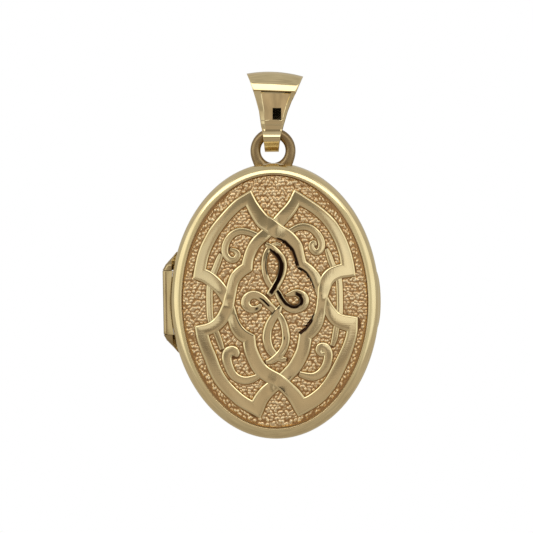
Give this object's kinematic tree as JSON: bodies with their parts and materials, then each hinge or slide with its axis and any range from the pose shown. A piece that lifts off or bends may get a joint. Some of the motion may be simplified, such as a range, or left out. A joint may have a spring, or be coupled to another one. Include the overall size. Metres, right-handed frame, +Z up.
{
  "type": "oval hinged locket pendant",
  "caption": "Oval gold locket with an interlaced knot panel in a polished rim, a tapered folded bail on a ring, a side hinge and two photo frames inside.",
  "frame": {"origin": "chain seat: the highest point of the hollow inside the bail, where the neck chain carries the locket", "axes": "+Z up along the hanging locket, +X to the right seen from the front and along the chain passage, -Y the knotwork front"},
  "size_m": [0.019, 0.0048, 0.0319],
  "materials": {
    "polished_gold": "polished",
    "struck_gold": "struck relief, matt ground",
    "clear_window": "clear",
    "plain_card": "matt card"
  },
  "bodies": {
    "bail": {"bail": "polished_gold"},
    "back_half": {"suspension_loop": "polished_gold", "back_cover": "polished_gold", "back_snap_band": "polished_gold", "back_photo_frame": "polished_gold", "back_photo_window": "clear_window", "back_photo_card": "plain_card", "hinge_end_upper": "polished_gold", "hinge_end_lower": "polished_gold", "hinge_pin": "polished_gold"},
    "front_half": {"front_cover": "polished_gold", "knot_panel": "struck_gold", "front_inner_band": "polished_gold", "front_photo_frame": "polished_gold", "front_photo_window": "clear_window", "front_photo_card": "plain_card", "hinge_knuckle_center": "polished_gold", "hinge_web": "polished_gold", "thumb_lip": "polished_gold"}
  },
  "joints": [
    {"name": "bail_swing", "type": "hinge", "parent": "bail", "child": "back_half", "pos_m": [0, 0, -0.00487], "axis": [1, 0, 0], "range_deg": [-90, 90]},
    {"name": "cover_hinge", "type": "hinge", "parent": "back_half", "child": "front_half", "pos_m": [-0.00937, -0.00055, -0.0195], "axis": [0, 0, -1], "range_deg": [0, 180]}
  ]
}
